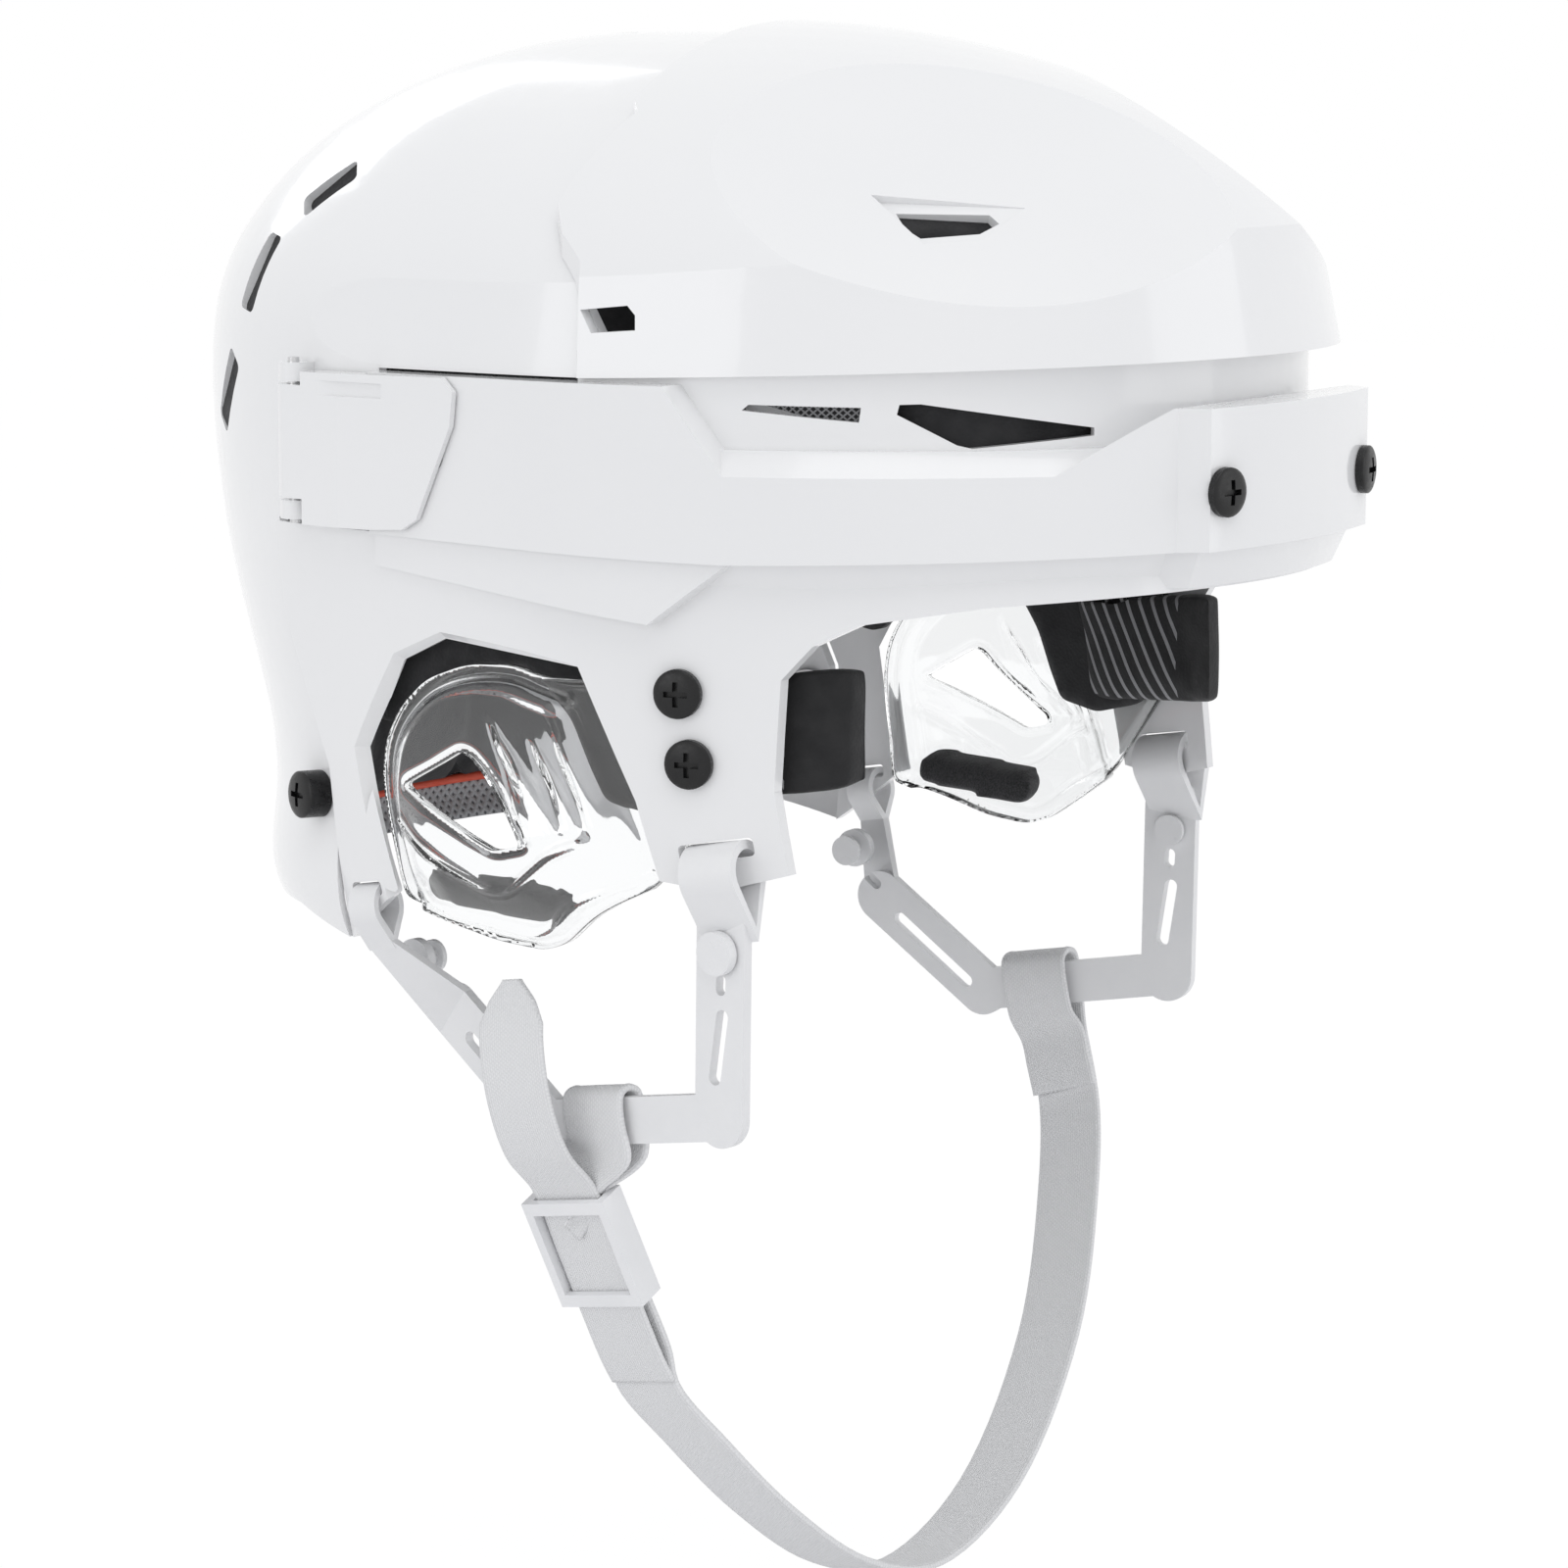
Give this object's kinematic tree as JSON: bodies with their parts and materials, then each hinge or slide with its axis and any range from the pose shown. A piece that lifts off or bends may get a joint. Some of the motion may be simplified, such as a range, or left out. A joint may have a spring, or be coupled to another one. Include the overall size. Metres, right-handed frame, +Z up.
{
  "type": "ice hockey helmet",
  "caption": "White two-shell ice hockey helmet with side size latches, clear ear guards, foam liner and a webbing chin strap on plastic slings.",
  "frame": {"origin": "on the plane of symmetry at mid length, level with the lower edge of the brow", "axes": "+Z up, the wearer faces -Y, the wearer's right side is -X"},
  "size_m": [0.2168, 0.2676, 0.3492],
  "materials": {
    "shell_white": "glossy white",
    "screw_black": "satin black",
    "nut_steel": "plated",
    "pin_steel": "bright",
    "stud_white": "satin",
    "guard_clear": "clear polycarbonate",
    "felt_dark": "felt",
    "liner_foam": "closed-cell foam",
    "screen_dark": "mesh",
    "sling_white": "satin",
    "webbing": "woven webbing",
    "buckle_clear": "clear acetal"
  },
  "bodies": {
    "front_shell_group": {"front_shell": "shell_white", "brow_screws": "screw_black", "side_screws": "screw_black", "brow_nuts": "nut_steel", "side_nuts": "nut_steel", "right_ear_guard": "guard_clear", "left_ear_guard": "guard_clear", "right_ear_pad": "felt_dark", "left_ear_pad": "felt_dark", "right_temple_pad": "liner_foam", "left_temple_pad": "liner_foam", "forehead_pad": "liner_foam", "right_front_crown_pad": "liner_foam", "left_front_crown_pad": "liner_foam", "vent_screens": "screen_dark"},
    "rear_shell_group": {"rear_shell": "shell_white", "right_latch_pin": "pin_steel", "left_latch_pin": "pin_steel", "right_lock_stud": "stud_white", "left_lock_stud": "stud_white", "rear_studs": "screw_black", "stud_nuts": "nut_steel", "right_rear_crown_pad": "liner_foam", "left_rear_crown_pad": "liner_foam", "right_side_pad": "liner_foam", "left_side_pad": "liner_foam", "right_rear_pad": "felt_dark", "left_rear_pad": "felt_dark", "nape_pad": "liner_foam"},
    "right_latch": {"right_latch": "shell_white"},
    "left_latch": {"left_latch": "shell_white"},
    "right_sling": {"right_sling": "sling_white", "right_sling_snaps": "sling_white"},
    "left_sling": {"left_sling": "sling_white", "left_sling_snaps": "sling_white"},
    "chin_strap": {"chin_strap": "webbing"},
    "buckle": {"strap_buckle": "buckle_clear"}
  },
  "joints": [
    {"name": "size_slide", "type": "slide", "parent": "front_shell_group", "child": "rear_shell_group", "axis": [0, 1, 0], "range_m": [0, 0.012]},
    {"name": "right_latch_hinge", "type": "hinge", "parent": "rear_shell_group", "child": "right_latch", "pos_m": [-0.1031, 0.051, 0.0273], "axis": [0, 0, -1], "range_deg": [0, 60]},
    {"name": "left_latch_hinge", "type": "hinge", "parent": "rear_shell_group", "child": "left_latch", "pos_m": [0.1031, 0.051, 0.0273], "axis": [0, 0, 1], "range_deg": [0, 60]},
    {"name": "right_sling_sway", "type": "hinge", "parent": "front_shell_group", "child": "right_sling", "pos_m": [-0.0924, -0.0529, -0.0578], "axis": [-0.0526, 0.9836, -0.1723], "range_deg": [-3, 17]},
    {"name": "left_sling_sway", "type": "hinge", "parent": "front_shell_group", "child": "left_sling", "pos_m": [0.0924, -0.0529, -0.0578], "axis": [0.0526, 0.9836, -0.1723], "range_deg": [-3.09, 17.51]},
    {"name": "chin_strap_sway", "type": "hinge", "parent": "right_sling", "child": "chin_strap", "pos_m": [-0.08942, -0.02378, -0.11406], "axis": [-0.0526, 0.9836, -0.1723], "range_deg": [-17.85, 3.15]},
    {"name": "buckle_slide", "type": "slide", "parent": "chin_strap", "child": "buckle", "axis": [0.3502, -0.1571, -0.9234], "range_m": [0, 0.012]}
  ],
  "couplings": [
    {"joint": "left_sling_sway", "follows": "right_sling_sway", "ratio": 1.03},
    {"joint": "chin_strap_sway", "follows": "right_sling_sway", "ratio": -1.05}
  ]
}
